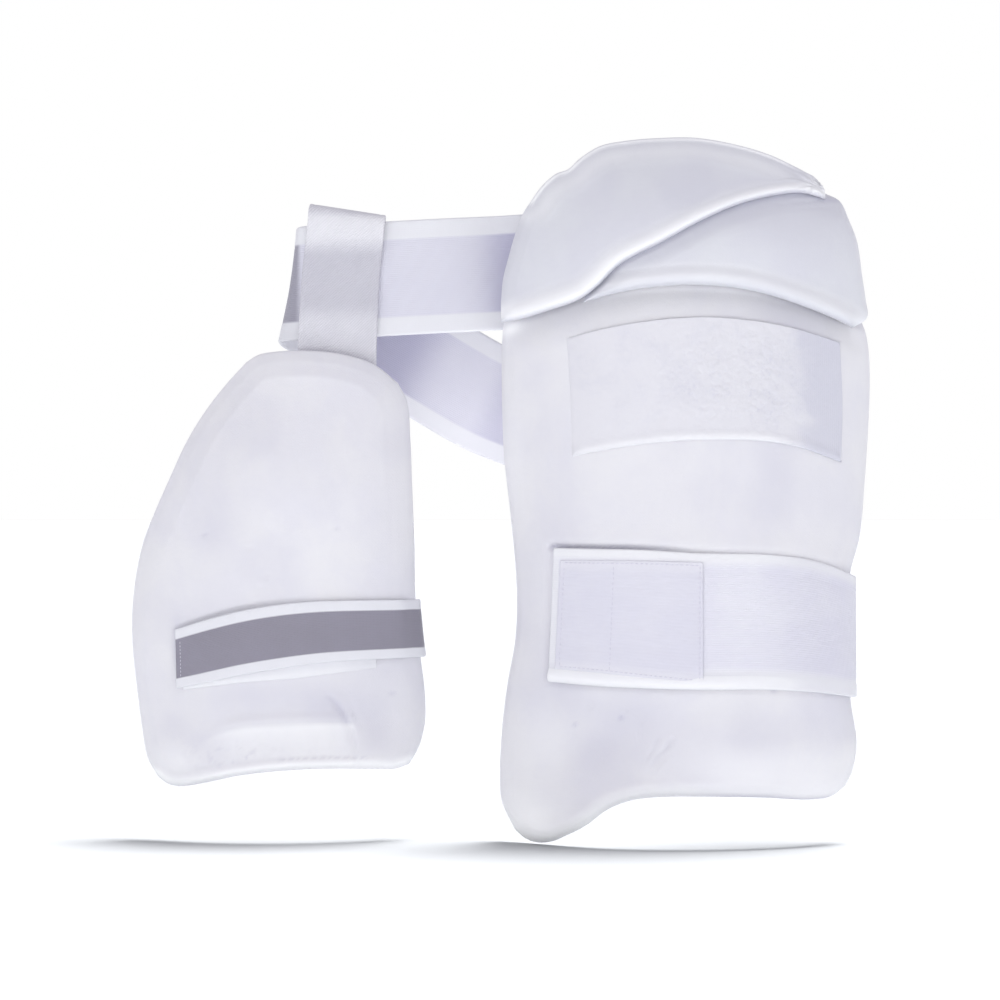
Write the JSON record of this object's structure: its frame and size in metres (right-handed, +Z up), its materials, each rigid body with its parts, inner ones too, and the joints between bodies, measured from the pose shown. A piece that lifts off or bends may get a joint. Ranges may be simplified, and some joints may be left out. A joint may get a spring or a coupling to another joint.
{
  "type": "cricket thigh guard",
  "caption": "Combination thigh guard for a batter: a moulded outer thigh pad with a domed hip guard, and an inner thigh pad hung from the same elastic waist belt.",
  "frame": {"origin": "the middle of the waist belt's ring, at the belt's mid height, where it sits on the wearer's waist", "axes": "+X from the inner thigh pad towards the outer thigh pad, across the front; +Y from the pads' front to their back; +Z up"},
  "size_m": [0.4571, 0.1675, 0.4273],
  "materials": {
    "pad_cover": "white brushed cloth cover over moulded foam, soft sheen",
    "hip_cover": "white smooth stretched cloth cover with rolled edges",
    "loop_pile": "white fuzzy loop pile",
    "white_elastic": "white ribbed woven elastic, matt",
    "grey_elastic": "grey woven elastic with white selvages",
    "belt_elastic": "pale lilac ribbed elastic with white selvages",
    "twill_webbing": "greyish white twill webbing"
  },
  "bodies": {
    "root": {"outer_pad": "pad_cover", "hip_guard_upper": "hip_cover", "hip_guard_lower": "hip_cover", "loop_panel": "loop_pile", "outer_strap": "white_elastic", "outer_strap_end": "white_elastic", "inner_pad": "pad_cover", "inner_tab": "white_elastic", "inner_strap": "grey_elastic", "waist_belt": "belt_elastic", "hanging_loop": "twill_webbing"}
  },
  "joints": []
}
